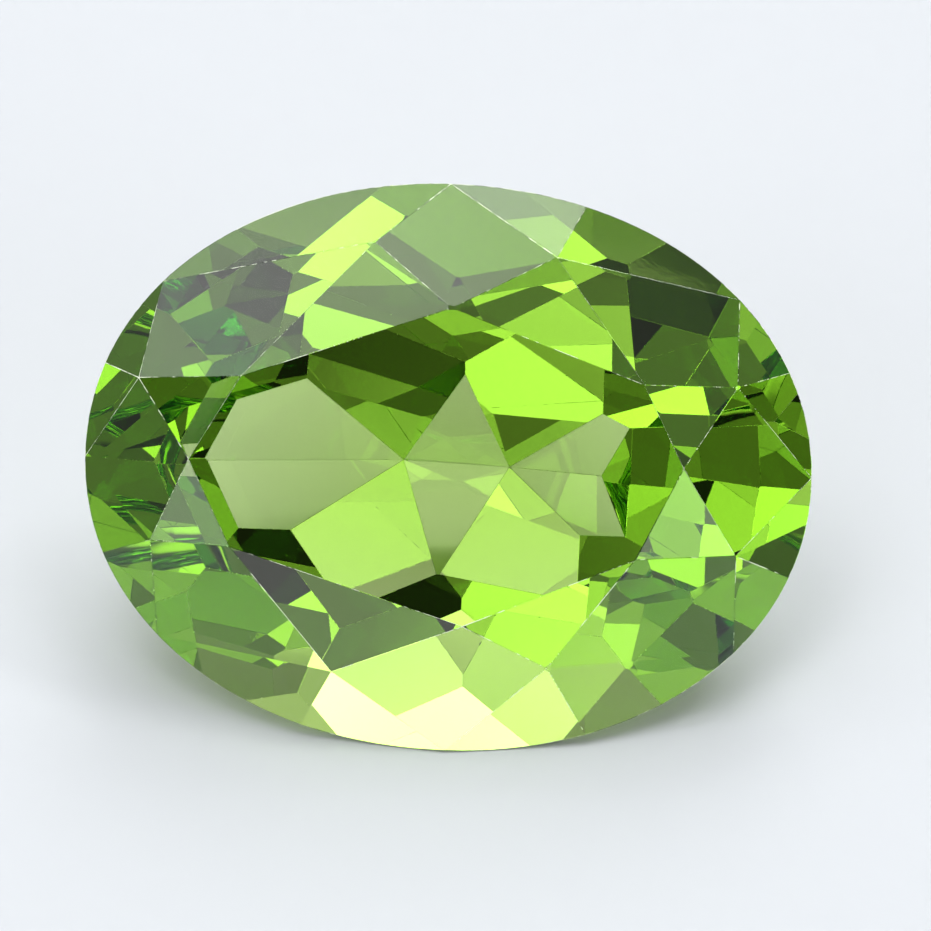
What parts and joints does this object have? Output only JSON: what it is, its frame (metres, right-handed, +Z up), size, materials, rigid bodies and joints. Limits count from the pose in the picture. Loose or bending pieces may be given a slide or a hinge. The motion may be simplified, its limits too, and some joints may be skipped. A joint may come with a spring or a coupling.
{
  "type": "oval-cut peridot",
  "caption": "Loose faceted oval gemstone with a flat table, a brilliant crown and a keeled pavilion, lying on a pavilion facet.",
  "frame": {"origin": "bottom centre of the stone's bounding box, on the surface that it lies on", "axes": "+Z up, +X along the long axis of the oval, the table facing up and towards -Y"},
  "size_m": [0.009, 0.0052, 0.0055],
  "materials": {
    "peridot_crystal": "clear yellow-green crystal, polished facets with fine worn junctions"
  },
  "bodies": {
    "root": {"peridot": "peridot_crystal"}
  },
  "joints": []
}
